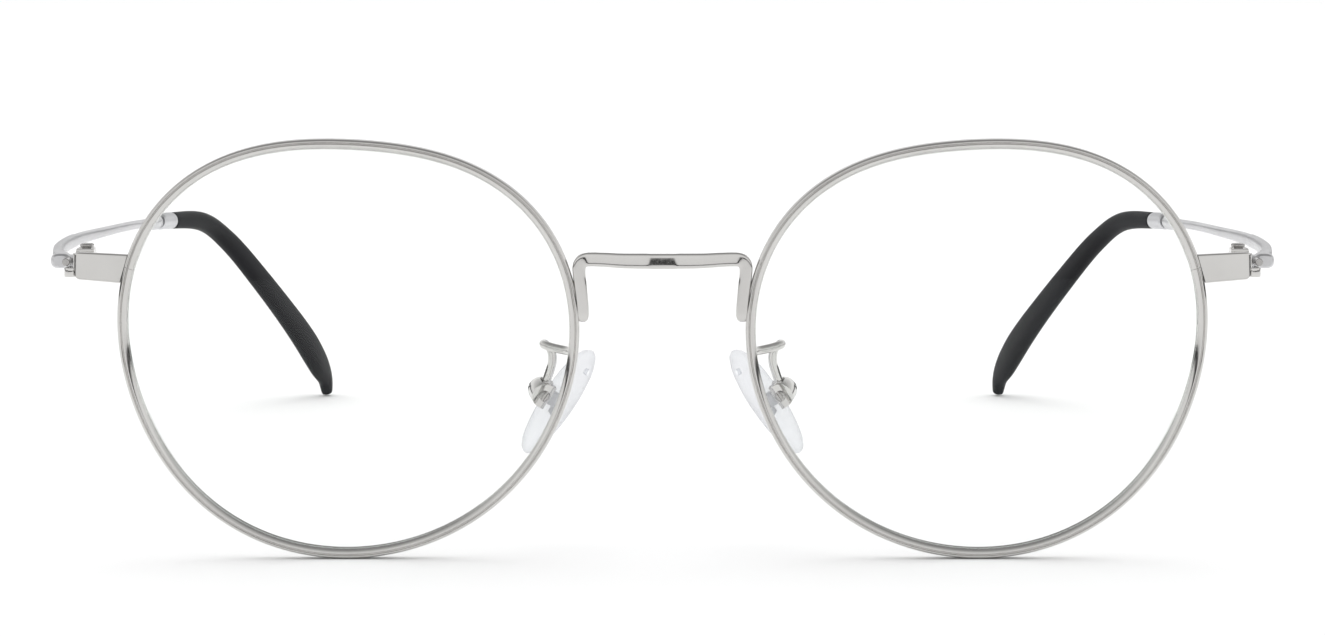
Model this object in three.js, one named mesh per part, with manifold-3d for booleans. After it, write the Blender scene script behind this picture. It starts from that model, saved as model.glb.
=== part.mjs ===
// Round wire eyeglasses: two split metal rims with lenses, a bridge, end pieces with hinges,
// strip temples with moulded tips, and silicone nose pads that rock on their arms.
// Millimetres. +X points to the wearer's left, +Y backwards along the temples, +Z up.
// Every shape is drawn for the left side, with y = 0 at the front of the rims and z = 0 on the
// surface that the glasses stand on. The right side is its mirror image.
import * as THREE from 'three';
import { mergeVertices } from 'three/addons/utils/BufferGeometryUtils.js';
import Module from 'manifold-3d';

const wasm = await Module();
wasm.setup();

// ---- driving dimensions -------------------------------------------------------------------

const GAP = 0.04;                 // between pieces that are soldered, clamped or pushed together
const RUNNING_GAP = 0.06;         // between pieces that turn on each other
const OVERSHOOT = 1;              // how far a cutting tool reaches past the piece it cuts

// The rim outline about the eye centre: a mean radius and the terms that make it a soft
// rounded shape, widest at the upper corners.
const EYE_X = 34.9;
const EYE_Z = 23.5;
const RIM_RADIUS = 24.68;
const RIM_RAISED = 0.38;          // fuller top
const RIM_WIDENED = 1.04;         // wider than tall
const RIM_LEANED = -0.14;         // fuller towards the upper temple side
const RIM_SHOULDERS = 0.69;       // fuller upper corners, narrower bottom
const RIM_NOSE_SIDE = 0.19;
const RIM_FLATTENED = -0.26;
const RIM_THICKNESS = 1.15;       // seen from the front
const RIM_DEPTH = 1.75;
const RIM_STEPS = 72;
const SPLIT_Z = 32.5;             // height at which the rim is split
const SPLIT_GAP = 0.3;

const LENS_CURVE_RADIUS = 150;
const LENS_THICKNESS = 1.8;
const LENS_INSET = 1.28;          // from the rim's outer edge to the lens faces
const LENS_APEX_INSET = 0.74;     // and to the V edge of the lens
const GROOVE_Y = 0.9;
const LENS_STEPS = 48;

const BRIDGE_HEIGHT = 1.45;
const BRIDGE_DEPTH = 1.5;
const BRIDGE_Y = 0.95;
const BRIDGE_Z = 33.2;
const BRIDGE_SAG = 0.17;
const LEG_WIDTH = 1.15;

const PLATE_THICKNESS = 1.3;
const PLATE_OUTER_X = 65.15;
const PLATE_INNER_Z = [30.7, 33.8];
const PLATE_OUTER_Z = [31.16, 34.1];

const HINGE_X = 64.2;
const HINGE_Y = 5;
const KNUCKLE_RADIUS = 1;
const HINGE_SCREW_RADIUS = 0.45;
const SCREW_END = 0.1;            // how far a screw's tip stands out below
const HINGE_Z = { bottom: 30.95, middleFrom: 32.17, middleTo: 33.33, top: 34.3 };

const CLAW_Z = [31.9, 33.6];
const PIN_X = 66.15;
const PIN_Y = [2.1, 5.5];
const PIN_Z = 32.8;
const PIN_RADIUS = 0.43;

const CLOSING_BLOCK_X = [60.2, 62.4];
const CLOSING_BLOCK_Z = [31.1, 33.35];
const CLOSING_BLOCK_BACK_Y = 3.5;
const CLOSING_SCREW = { x: 61.3, y: 2.4, radius: 0.45, length: 2.3 };
const LUG_Z = [31.3, 32.3];

// The temple's centre line, from the claw behind the hinge to the end of the tip.
const TEMPLE_LINE = [
  [68.0, 8.5, 32.75],
  [70.4, 24, 32.1],
  [72.0, 45, 31.2],
  [71.4, 62, 30.55],
  [69.3, 78, 30.1],
  [66.4, 88, 29.75],
  [62.9, 97.5, 28.7],
  [60.4, 104.2, 25.5],
  [56.8, 114, 18.8],
  [52.6, 125.3, 10.1],
  [50.8, 130.2, 5.7],
  [49.8, 132.9, 2.7],
  [49.5, 133.6, 0.06],
];
const BAR_END = 36.5;             // distances along the temple line
const WIRE_END = 128;
const COLLAR = [74.6, 77.2];
const FERRULE = [77.5, 81.2];
const TIP_START = 81.25;
const CORE_RADIUS = 0.55;
const CORE_SIDES = 8;
const STATION_STEP = 2.5;
const SLEEVE_RADIUS = 1.12;

const PAD_CENTRE = new THREE.Vector3(11.75, 8.6, 16.3);
const PAD_LENGTH = 14;
const PAD_WIDTH = 7.2;
const PAD_THICKNESS = 2.3;
const PAD_OFFSET = 2.25;          // from the pad's middle to the pad screw
const BOX_HALF = 1.45;
const BOX_WIDTH = 2.6;
const BOX_LIP = 0.75;              // from the pad screw to the box's open side
const PAD_SLOT = 1.1;
const PAD_SCREW_RADIUS = 0.4;
const ARM_RADIUS = 0.5;

// ---- materials ----------------------------------------------------------------------------

function metal(name, color, roughness) {
  return new THREE.MeshStandardMaterial({ name, color, roughness, metalness: 1 });
}

const polished = metal('polished_silver', 0xd2d0cc, 0.12);
const steel = metal('screw_steel', 0x8d8b88, 0.3);
const satin = metal('satin_silver', 0xd9d9dc, 0.4);
const frosted = metal('frosted_silver', 0xd4d4d8, 0.5);
const charcoal = new THREE.MeshStandardMaterial({ name: 'charcoal_plastic', color: 0x2f2e33,
  roughness: 0.42, metalness: 0 });
const lensClear = new THREE.MeshStandardMaterial({ name: 'clear_lens', color: 0xf6f8f8,
  roughness: 0.03, metalness: 0, transparent: true, opacity: 0.12 });
const silicone = new THREE.MeshStandardMaterial({ name: 'clear_silicone', color: 0xeef1f6,
  roughness: 0.2, metalness: 0, transparent: true, opacity: 0.45 });

// ---- solids -------------------------------------------------------------------------------

function toSolid(geometry) {
  const bare = geometry.clone();
  bare.deleteAttribute('normal');
  bare.deleteAttribute('uv');
  const merged = mergeVertices(bare, 1e-5);
  return new wasm.Manifold(new wasm.Mesh({
    numProp: 3,
    vertProperties: new Float32Array(merged.attributes.position.array),
    triVerts: new Uint32Array(merged.index.array),
  }));
}

function toGeometry(solid) {
  const mesh = solid.getMesh();
  const geometry = new THREE.BufferGeometry();
  geometry.setAttribute('position', new THREE.BufferAttribute(mesh.vertProperties, 3));
  geometry.setIndex(new THREE.BufferAttribute(mesh.triVerts, 1));
  return geometry;
}

function union(...geometries) {
  return toGeometry(geometries.map(toSolid).reduce((sum, solid) => sum.add(solid)));
}

function cut(geometry, ...tools) {
  return toGeometry(tools.map(toSolid).reduce((rest, tool) => rest.subtract(tool), toSolid(geometry)));
}

function signedVolume(points, triangles) {
  let volume = 0;
  for (let i = 0; i < triangles.length; i += 3) {
    const [a, b, c] = [points[triangles[i]], points[triangles[i + 1]], points[triangles[i + 2]]];
    volume += a.dot(b.clone().cross(c));
  }
  return volume;
}

// A closed skin through rings of equally many points, with a fan over the first and last ring.
function loft(rings) {
  const count = rings[0].length;
  const points = rings.flat();
  const triangles = [];
  for (let k = 0; k + 1 < rings.length; k++) {
    for (let i = 0; i < count; i++) {
      const a = k * count + i;
      const b = k * count + (i + 1) % count;
      triangles.push(a, b, b + count, a, b + count, a + count);
    }
  }
  for (const [ring, start, first] of [[rings[0], 0, true], [rings.at(-1), points.length - count, false]]) {
    const centre = points.length;
    points.push(ring.reduce((sum, p) => sum.add(p), new THREE.Vector3()).divideScalar(count));
    for (let i = 0; i < count; i++) {
      const pair = [start + i, start + (i + 1) % count];
      triangles.push(...(first ? pair.reverse() : pair), centre);
    }
  }
  if (signedVolume(points, triangles) < 0) triangles.reverse();
  const geometry = new THREE.BufferGeometry();
  geometry.setAttribute('position', new THREE.Float32BufferAttribute(points.flatMap((p) => p.toArray()), 3));
  geometry.setIndex(triangles);
  return geometry;
}

// An outline in the XY plane, given as [x, y] corners, as a prism between two heights.
function prismZ(corners, from, to) {
  const shape = new THREE.Shape(corners.map(([x, y]) => new THREE.Vector2(x, y)));
  const geometry = new THREE.ExtrudeGeometry(shape, { depth: to - from, bevelEnabled: false });
  return geometry.translate(0, 0, from);
}

function box(xs, ys, zs) {
  const geometry = new THREE.BoxGeometry(xs[1] - xs[0], ys[1] - ys[0], zs[1] - zs[0]);
  return geometry.translate((xs[0] + xs[1]) / 2, (ys[0] + ys[1]) / 2, (zs[0] + zs[1]) / 2);
}

function cylinderZ(x, y, radius, from, to, sides = 20) {
  const geometry = new THREE.CylinderGeometry(radius, radius, to - from, sides).rotateX(Math.PI / 2);
  return geometry.translate(x, y, (from + to) / 2);
}

// A screw standing on its tip at z = 0, with a slotted head on top.
function screw(radius, length, headRadius, headHeight) {
  const profile = [[0, 0], [radius * 0.8, 0], [radius, 0.15], [radius, length], [headRadius, length],
    [headRadius, length + headHeight * 0.6], [headRadius * 0.75, length + headHeight],
    [0, length + headHeight]];
  const body = new THREE.LatheGeometry(profile.map(([r, z]) => new THREE.Vector2(r, z)), 14);
  body.rotateX(Math.PI / 2);
  const slotDepth = headHeight * 0.5;
  const slot = box([-2, 2], [-headRadius * 0.16, headRadius * 0.16],
    [length + headHeight - slotDepth, length + headHeight + 1]);
  return cut(body, slot);
}

function mirrored(geometry) {
  const copy = (geometry.index ? geometry.toNonIndexed() : geometry.clone()).scale(-1, 1, 1);
  const p = copy.attributes.position.array;
  for (let i = 0; i < p.length; i += 9) {
    for (let k = 0; k < 3; k++) {
      [p[i + 3 + k], p[i + 6 + k]] = [p[i + 6 + k], p[i + 3 + k]];
    }
  }
  return copy;
}

// ---- the object ---------------------------------------------------------------------------

const glasses = new THREE.Group();

function add(name, geometry, material) {
  const shape = geometry.clone();
  shape.computeVertexNormals();
  const mesh = new THREE.Mesh(shape, material.clone());
  mesh.name = name;
  glasses.add(mesh);
}

function addPair(name, geometry, material) {
  add(`left_${name}`, geometry, material);
  add(`right_${name}`, mirrored(geometry), material);
}

// ---- rims and lenses ----------------------------------------------------------------------

// The angle starts at the nose side of the eye, and a quarter turn is straight up.
function rimRadius(angle) {
  return RIM_RADIUS + RIM_RAISED * Math.sin(angle)
    + RIM_WIDENED * Math.cos(2 * angle) + RIM_LEANED * Math.sin(2 * angle)
    + RIM_NOSE_SIDE * Math.cos(3 * angle) + RIM_SHOULDERS * Math.sin(3 * angle)
    + RIM_FLATTENED * Math.cos(4 * angle);
}

// A point that lies `inward` of the rim's outer edge.
function rimPoint(angle, inward, y) {
  const r = rimRadius(angle) - inward;
  return new THREE.Vector3(EYE_X - r * Math.cos(angle), y, EYE_Z + r * Math.sin(angle));
}

// The angle between `from` and `to` at which the rim's outer edge is at height z.
function rimAngleAtHeight(z, from, to) {
  let [low, high] = [from, to];
  const rising = rimPoint(to, 0, 0).z > rimPoint(from, 0, 0).z;
  for (let i = 0; i < 40; i++) {
    const middle = (low + high) / 2;
    if ((rimPoint(middle, 0, 0).z < z) === rising) low = middle;
    else high = middle;
  }
  return (low + high) / 2;
}

const splitAngle = rimAngleAtHeight(SPLIT_Z, Math.PI * 0.75, Math.PI);
const splitHalfAngle = SPLIT_GAP / 2 / RIM_RADIUS;

// The rim's section as [inward, depth] corners: rounded outside, with a V groove for the lens.
const rimSection = [[0, 0.5], [0.16, 0.12], [0.5, 0], [0.98, 0.08], [RIM_THICKNESS, 0.42], [0.66, GROOVE_Y],
  [RIM_THICKNESS, 1.38], [0.98, 1.67], [0.5, RIM_DEPTH], [0.16, 1.63], [0, 1.25]];

function rimGeometry() {
  const rings = [];
  const start = splitAngle + splitHalfAngle;
  const sweep = 2 * Math.PI - 2 * splitHalfAngle;
  for (let i = 0; i <= RIM_STEPS; i++) {
    const angle = start + sweep * i / RIM_STEPS;
    rings.push(rimSection.map(([inward, depth]) => rimPoint(angle, inward, depth)));
  }
  return loft(rings);
}

// A meniscus lens: both faces are spherical and bulge forwards, and its V edge lies in the groove.
function lensGeometry() {
  const faceReference = 24;
  const frontY = (radius) => 0.1 + (radius ** 2 - faceReference ** 2) / (2 * LENS_CURVE_RADIUS);
  const faceRing = (scale, thickness) => lensRing((angle) => {
    const p = rimPoint(angle, LENS_INSET, 0);
    p.x = EYE_X + (p.x - EYE_X) * scale;
    p.z = EYE_Z + (p.z - EYE_Z) * scale;
    p.y = frontY(Math.hypot(p.x - EYE_X, p.z - EYE_Z)) + thickness;
    return p;
  });
  const faceScales = [0.3, 0.7, 1];
  const front = faceScales.map((scale) => faceRing(scale, 0));
  const back = faceScales.map((scale) => faceRing(scale, LENS_THICKNESS)).reverse();
  const halfV = 0.44;
  const edgeProfile = [[LENS_INSET, GROOVE_Y - halfV], [LENS_APEX_INSET, GROOVE_Y],
    [LENS_INSET, GROOVE_Y + halfV]];
  const edgeRings = edgeProfile.map(([inward, depth]) => lensRing((angle) => rimPoint(angle, inward, depth)));
  return loft([...front, ...edgeRings, ...back]);
}

function lensRing(pointAt) {
  return Array.from({ length: LENS_STEPS }, (_, i) => pointAt(2 * Math.PI * i / LENS_STEPS));
}

addPair('rim', rimGeometry(), polished);
addPair('lens', lensGeometry(), lensClear);

// ---- bridge -------------------------------------------------------------------------------

// A flattened bar whose ends turn down into leaf-shaped legs, soldered along the rims.
function bridgeGeometry() {
  const half = [];
  for (const z of [26.75, 27.6, 29, 30.4, 31.4]) {
    const angle = rimAngleAtHeight(z, 0, 0.6);
    half.push(rimPoint(angle, -(GAP + LEG_WIDTH / 2), BRIDGE_Y));
  }
  const cornerX = half.at(-1).x - 0.15;
  half.push(new THREE.Vector3(cornerX - 0.25, BRIDGE_Y, BRIDGE_Z - 0.55));
  half.push(new THREE.Vector3(cornerX - 0.85, BRIDGE_Y, BRIDGE_Z - 0.05));
  half.push(new THREE.Vector3(cornerX / 2, BRIDGE_Y, BRIDGE_Z - BRIDGE_SAG * 0.75));
  const middle = new THREE.Vector3(0, BRIDGE_Y, BRIDGE_Z - BRIDGE_SAG);
  const other = half.map((p) => new THREE.Vector3(-p.x, p.y, p.z)).reverse();
  const line = new THREE.CatmullRomCurve3([...half, middle, ...other], false, 'centripetal');
  const steps = 50;
  const sides = 10;
  const rings = [];
  for (let i = 0; i <= steps; i++) {
    const centre = line.getPointAt(i / steps);
    const across = line.getTangentAt(i / steps).cross(new THREE.Vector3(0, 1, 0)).normalize();
    const fromEnd = Math.min(i, steps - i) / steps;
    const endRounding = Math.min(1, 0.55 + fromEnd * 20);
    const inLeg = 1 - THREE.MathUtils.smoothstep(fromEnd, 0.16, 0.24);
    const halfHeight = THREE.MathUtils.lerp(BRIDGE_HEIGHT, LEG_WIDTH, inLeg) / 2 * endRounding;
    rings.push(Array.from({ length: sides }, (_, k) => {
      const a = 2 * Math.PI * (k + 0.5) / sides;
      return centre.clone().addScaledVector(across, Math.cos(a) * halfHeight)
        .add(new THREE.Vector3(0, Math.sin(a) * BRIDGE_DEPTH / 2, 0));
    }));
  }
  return loft(rings);
}

add('bridge', bridgeGeometry(), polished);

// ---- end piece, closing blocks and hinge --------------------------------------------------

// A flat plate against the rim, seen from the front, with a small lug behind its outer edge.
function endPieceGeometry() {
  const inner = [];
  for (let i = 0; i <= 4; i++) {
    const z = THREE.MathUtils.lerp(PLATE_INNER_Z[0], PLATE_INNER_Z[1], i / 4);
    const p = rimPoint(rimAngleAtHeight(z, Math.PI * 0.75, Math.PI), -GAP, 0);
    inner.push([p.x, p.z]);
  }
  const outline = [...inner,
    [PLATE_OUTER_X - 0.3, PLATE_OUTER_Z[1]], [PLATE_OUTER_X, PLATE_OUTER_Z[1] - 0.25],
    [PLATE_OUTER_X, PLATE_OUTER_Z[0] + 0.45], [PLATE_OUTER_X - 0.5, PLATE_OUTER_Z[0]]];
  const shape = new THREE.Shape(outline.map(([x, z]) => new THREE.Vector2(x, z)));
  const plate = new THREE.ExtrudeGeometry(shape, { depth: PLATE_THICKNESS, bevelEnabled: false });
  plate.rotateX(Math.PI / 2).translate(0, PLATE_THICKNESS, 0);
  const lug = prismZ([[64.8, 0.5], [65.85, 0.5], [66.15, 0.85], [66.15, 3.4], [65.28, 3.4],
    [65.28, PLATE_THICKNESS - 0.01], [64.8, PLATE_THICKNESS - 0.01]], ...LUG_Z);
  return union(plate, lug);
}

const blockFrontY = PLATE_THICKNESS + GAP;

// One half of the block that clamps the split rim round the lens; the screw passes through both.
function closingBlockGeometry(from, to) {
  const { x, y, radius } = CLOSING_SCREW;
  return cut(box(CLOSING_BLOCK_X, [blockFrontY, CLOSING_BLOCK_BACK_Y], [from, to]),
    cylinderZ(x, y, radius + GAP, from - OVERSHOOT, to + OVERSHOOT));
}

// It is screwed in from below, and its head lies under the lower block.
function closingScrewGeometry() {
  const { x, y, radius, length } = CLOSING_SCREW;
  const top = CLOSING_BLOCK_Z[0] - 0.05 + length - GAP;
  return screw(radius, length, 0.75, 0.35).rotateX(Math.PI).translate(x, y, top);
}

// The fixed half of the hinge: a foot behind the plate, with a knuckle above and one below.
function hingeBlockGeometry() {
  const xs = [HINGE_X - KNUCKLE_RADIUS, HINGE_X + KNUCKLE_RADIUS];
  const footBackY = 2.5;
  const foot = box(xs, [blockFrontY, footBackY], [HINGE_Z.bottom, HINGE_Z.top]);
  const leaf = (from, to) => union(box(xs, [footBackY - 0.1, HINGE_Y], [from, to]),
    cylinderZ(HINGE_X, HINGE_Y, KNUCKLE_RADIUS, from, to));
  const lower = leaf(HINGE_Z.bottom, HINGE_Z.middleFrom - RUNNING_GAP);
  const upper = leaf(HINGE_Z.middleTo + RUNNING_GAP, HINGE_Z.top);
  return cut(union(foot, lower, upper), hingeHole());
}

function hingeHole() {
  return cylinderZ(HINGE_X, HINGE_Y, HINGE_SCREW_RADIUS + RUNNING_GAP, HINGE_Z.bottom - OVERSHOOT,
    HINGE_Z.top + OVERSHOOT);
}

function hingeScrewGeometry() {
  const from = HINGE_Z.bottom - SCREW_END;
  return screw(HINGE_SCREW_RADIUS, HINGE_Z.top + GAP - from, 0.78, 0.32).translate(HINGE_X, HINGE_Y, from);
}

addPair('end_piece', endPieceGeometry(), polished);
addPair('closing_block_lower', closingBlockGeometry(CLOSING_BLOCK_Z[0], SPLIT_Z - SPLIT_GAP / 2), polished);
addPair('closing_block_upper', closingBlockGeometry(SPLIT_Z + SPLIT_GAP / 2, CLOSING_BLOCK_Z[1]), polished);
addPair('closing_screw', closingScrewGeometry(), steel);
addPair('hinge_block', hingeBlockGeometry(), polished);
addPair('hinge_screw', hingeScrewGeometry(), steel);

// ---- temple -------------------------------------------------------------------------------

const templeLine = new THREE.CatmullRomCurve3(TEMPLE_LINE.map((p) => new THREE.Vector3(...p)),
  false, 'centripetal');
templeLine.arcLengthDivisions = 800;
const templeLength = templeLine.getLength();

// Where rings stand along the temple line: at the two ends and at whole multiples of a step
// between them, so that a core and the bore round it bend at the same places.
function stations(from, to, extra = []) {
  const list = [from, to, ...extra];
  for (let d = Math.ceil(from / STATION_STEP) * STATION_STEP; d < to; d += STATION_STEP) list.push(d);
  const sorted = list.sort((p, q) => p - q);
  return sorted.filter((d, i) => i === 0 || d - sorted[i - 1] > 0.05);
}

// A sweep along the temple line. Each ring is an oval of the given thickness (to the side) and
// height; roundness 1 gives an ellipse, and less gives flatter faces.
function templeSweep(distances, sides, sizeAt, roundness = 1) {
  return loft(distances.map((distance) => {
    const u = Math.min(1, distance / templeLength);
    const centre = templeLine.getPointAt(u);
    const along = templeLine.getTangentAt(u);
    const side = new THREE.Vector3(1, 0, 0).addScaledVector(along, -along.x).normalize();
    const up = side.clone().cross(along);
    const [thickness, height] = sizeAt(distance);
    return Array.from({ length: sides }, (_, k) => {
      const a = 2 * Math.PI * (k + 0.5) / sides;
      const flat = (v) => Math.sign(v) * Math.abs(v) ** roundness;
      return centre.clone().addScaledVector(side, flat(Math.cos(a)) * thickness / 2)
        .addScaledVector(up, flat(Math.sin(a)) * height / 2);
    });
  }));
}

// A value that runs in straight lines between the given [distance, value] pairs.
function profile(pairs, distance) {
  if (distance <= pairs[0][0]) return pairs[0][1];
  for (let i = 1; i < pairs.length; i++) {
    const [[d0, v0], [d1, v1]] = [pairs[i - 1], pairs[i]];
    if (distance <= d1) return THREE.MathUtils.lerp(v0, v1, (distance - d0) / (d1 - d0));
  }
  return pairs.at(-1)[1];
}

function coreHole(from, to) {
  const diameter = 2 * (CORE_RADIUS + GAP);
  return templeSweep(stations(from, to), CORE_SIDES, () => [diameter, diameter]);
}

// The moving half of the hinge: a knuckle and arm, the claw outside them, and the thick front bar.
function templeHingeGeometry() {
  const { middleFrom, middleTo } = HINGE_Z;
  const knuckle = cylinderZ(HINGE_X, HINGE_Y, KNUCKLE_RADIUS, middleFrom, middleTo);
  const armHalf = 0.7;
  const arm = box([HINGE_X, PIN_X + 0.35], [HINGE_Y - armHalf, HINGE_Y + armHalf], [middleFrom, middleTo]);
  const claw = prismZ([[65.75, 4.2], [66.0, 3.75], [67.3, 3.62], [67.95, 4.0], [68.3, 5.1], [68.62, 8.9],
    [67.4, 8.9], [66.9, 7.2], [66.3, 6.3], [65.8, 6.0]], ...CLAW_Z);
  const bar = templeSweep(stations(0.1, BAR_END), 10, (d) => [
    profile([[0, 1.3], [BAR_END, 1.15]], d), profile([[0, 1.7], [BAR_END, 1.6]], d)], 0.6);
  return cut(union(knuckle, arm, claw, bar), hingeHole(), pinGeometry(GAP));
}

// The round pin whose end shows beside the end piece; the claw holds it.
function pinGeometry(growth) {
  const [from, to] = [PIN_Y[0], PIN_Y[1] + growth];
  const pin = new THREE.CylinderGeometry(PIN_RADIUS + growth, PIN_RADIUS + growth, to - from, 20);
  return pin.translate(PIN_X, (from + to) / 2, PIN_Z);
}

// The strip: flat behind the bar, round where it runs through the collar, ferrule and tip.
function templeWireGeometry() {
  const roundFrom = COLLAR[0] - 2;
  return templeSweep(stations(BAR_END + GAP, WIRE_END), CORE_SIDES, (d) => [
    profile([[BAR_END, 0.85], [66, 0.95], [roundFrom, 2 * CORE_RADIUS]], d),
    profile([[BAR_END, 1.5], [66, 1.15], [roundFrom, 2 * CORE_RADIUS]], d)]);
}

function collarGeometry() {
  const [from, to] = COLLAR;
  const body = templeSweep(stations(from, to, [from + 0.4, from + 1, to - 1, to - 0.4]), 16, (d) => {
    const t = (d - from) / (to - from);
    const diameter = 1.35 + 0.75 * Math.sin(Math.PI * (0.12 + t * 0.75));
    return [diameter, diameter];
  });
  return cut(body, coreHole(from - OVERSHOOT, to + OVERSHOOT));
}

function ferruleGeometry() {
  const [from, to] = FERRULE;
  const body = templeSweep(stations(from, to), 16, () => [2 * SLEEVE_RADIUS, 2 * SLEEVE_RADIUS]);
  return cut(body, coreHole(from - OVERSHOOT, to + OVERSHOOT));
}

// The moulded tip: round at the ferrule, a flat paddle behind the ear, with a blunt turned-down end.
function tipGeometry() {
  const end = templeLength;
  const rounding = [end - 4, end - 2, end - 0.9, end - 0.4];
  const body = templeSweep(stations(TIP_START, end, rounding), 12, (d) => [
    profile([[TIP_START, 2.2], [end - 30, 2.3], [end - 8, 2.7], [end - 2.5, 2.2], [end - 0.7, 1.7],
      [end, 0.9]], d),
    profile([[TIP_START, 2.2], [TIP_START + 12, 2.7], [end - 34, 3.6], [end - 20, 4.3], [end - 7, 5.4],
      [end - 4, 5.2], [end - 2, 4.2], [end - 0.7, 2.8], [end, 1.5]], d)]);
  const boreEnd = WIRE_END + 0.3;
  return cut(body, coreHole(TIP_START - OVERSHOOT, boreEnd));
}

addPair('temple_hinge', templeHingeGeometry(), polished);
addPair('temple_pin', pinGeometry(0), steel);
addPair('temple_wire', templeWireGeometry(), satin);
addPair('temple_collar', collarGeometry(), satin);
addPair('temple_ferrule', ferruleGeometry(), frosted);
addPair('temple_tip', tipGeometry(), charcoal);

// ---- nose pads ----------------------------------------------------------------------------

// The pad's own frame: along it (upwards), across it (backwards) and out of it (to the nose).
const padUp = new THREE.Vector3(-0.56, -0.05, 0.83).normalize();
const padSplay = 0.35;
const padBack = new THREE.Vector3(Math.sin(padSplay), Math.cos(padSplay), 0)
  .projectOnPlane(padUp).normalize();
const padOut = padUp.clone().cross(padBack);
const padFrame = new THREE.Matrix4().makeBasis(padUp, padBack, padOut).setPosition(
  PAD_CENTRE.clone().addScaledVector(padOut, -PAD_OFFSET));

// Pad pieces are drawn about the pad screw: x along the pad, y along the screw, z to the nose.
function inPadFrame(geometry) {
  return geometry.applyMatrix4(padFrame);
}

// The tab on the back of the pad, round at the screw, with a plate that lies inside the silicone.
function padStemGeometry(growth) {
  const half = PAD_SLOT / 2 - 0.1 + growth;
  const tabRadius = 0.8 + growth;
  const eye = new THREE.CylinderGeometry(tabRadius, tabRadius, 2 * half, 20);
  const tab = box([-tabRadius, tabRadius], [-half, half], [0, PAD_OFFSET]);
  const [plateLength, plateWidth, plateHalf] = [3 + growth, 1.2 + growth, 0.25 + growth];
  const plate = box([-plateLength, plateLength], [-plateWidth, plateWidth],
    [PAD_OFFSET - plateHalf, PAD_OFFSET + plateHalf]);
  return union(eye, tab, plate);
}

function padGeometry() {
  const sides = 28;
  const rings = [[-0.5, 0.62], [-0.42, 0.8], [-0.2, 0.95], [0.05, 1], [0.3, 0.9], [0.45, 0.7], [0.5, 0.4]]
    .map(([level, scale]) => Array.from({ length: sides }, (_, i) => {
      const a = 2 * Math.PI * i / sides;
      const width = PAD_WIDTH / 2 * (1 + 0.1 * Math.cos(a));
      return new THREE.Vector3(Math.cos(a) * PAD_LENGTH / 2 * scale, Math.sin(a) * width * scale,
        PAD_OFFSET + level * PAD_THICKNESS);
    }));
  return cut(loft(rings), padStemGeometry(GAP));
}

// The pad box: rounded at the back, with a slot for the tab and a hole for the pad screw.
function padBoxGeometry() {
  const shell = union(
    new THREE.CylinderGeometry(BOX_HALF, BOX_HALF, BOX_WIDTH, 24),
    box([-BOX_HALF, BOX_HALF], [-BOX_WIDTH / 2, BOX_WIDTH / 2], [0, BOX_LIP]));
  const reach = BOX_HALF + OVERSHOOT;
  const mouth = box([-reach, reach], [-reach, reach], [BOX_LIP, reach]);
  const slotFloor = -0.86;
  const slot = box([-reach, reach], [-PAD_SLOT / 2, PAD_SLOT / 2], [slotFloor, reach]);
  const hole = new THREE.CylinderGeometry(PAD_SCREW_RADIUS + GAP, PAD_SCREW_RADIUS + GAP, 2 * reach, 20);
  return cut(shell, mouth, slot, hole);
}

// Its slotted head faces the front of the glasses, and its tip stands out behind the box.
function padScrewGeometry() {
  const tipY = BOX_WIDTH / 2 + 0.15;
  return screw(PAD_SCREW_RADIUS, tipY + BOX_WIDTH / 2 + GAP, 0.62, 0.3).rotateX(Math.PI / 2)
    .translate(0, tipY, 0);
}

// The arm starts on the back of the rim, loops out behind the lens and comes down to the box.
function padArmGeometry() {
  const top = new THREE.Vector3(BOX_HALF + GAP, 0, -0.4).applyMatrix4(padFrame);
  const line = new THREE.CatmullRomCurve3([
    new THREE.Vector3(10.05, RIM_DEPTH + GAP, 22.75),
    new THREE.Vector3(10.6, 3.0, 22.8),
    new THREE.Vector3(12.1, 4.1, 23.0),
    new THREE.Vector3(13.2, 5.2, 23.2),
    new THREE.Vector3(13.25, 6.4, 23.15),
    new THREE.Vector3(12.6, 7.1, 22.5),
    new THREE.Vector3(12.4, 7.35, 21.2),
    top,
  ], false, 'centripetal');
  const section = new THREE.Shape().absarc(0, 0, ARM_RADIUS, 0, Math.PI * 2);
  return new THREE.ExtrudeGeometry(section, { steps: 22, curveSegments: 3, bevelEnabled: false,
    extrudePath: line });
}

addPair('pad_arm', padArmGeometry(), polished);
addPair('pad_box', inPadFrame(padBoxGeometry()), polished);
addPair('pad_screw', inPadFrame(padScrewGeometry()), steel);
const stemHoleRadius = PAD_SCREW_RADIUS + RUNNING_GAP;
const stemHole = new THREE.CylinderGeometry(stemHoleRadius, stemHoleRadius, BOX_WIDTH, 20);
addPair('pad_stem', inPadFrame(cut(padStemGeometry(0), stemHole)), satin);
addPair('nose_pad', inPadFrame(padGeometry()), silicone);

// ---- placing ------------------------------------------------------------------------------

const bounds = new THREE.Box3().setFromObject(glasses);
glasses.position.y = -(bounds.min.y + bounds.max.y) / 2;
glasses.position.z = -bounds.min.z;
glasses.updateMatrixWorld(true);

export default glasses;
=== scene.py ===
"""Round wire eyeglasses in a white studio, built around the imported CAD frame.

Shapes are drawn in millimetres for the left side, with y = 0 at the front of the rims, as in the
CAD drawing. Most sizes are the drawing's too, but the bridge's widths, the bottom of the hinge, the
plate in the pad and the split of the rim are drawn a little differently here. place() puts the
shapes in the frame, and the right side is the mirror image.
"""
import math

import bmesh
import bpy
from mathutils import Matrix, Vector

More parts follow.
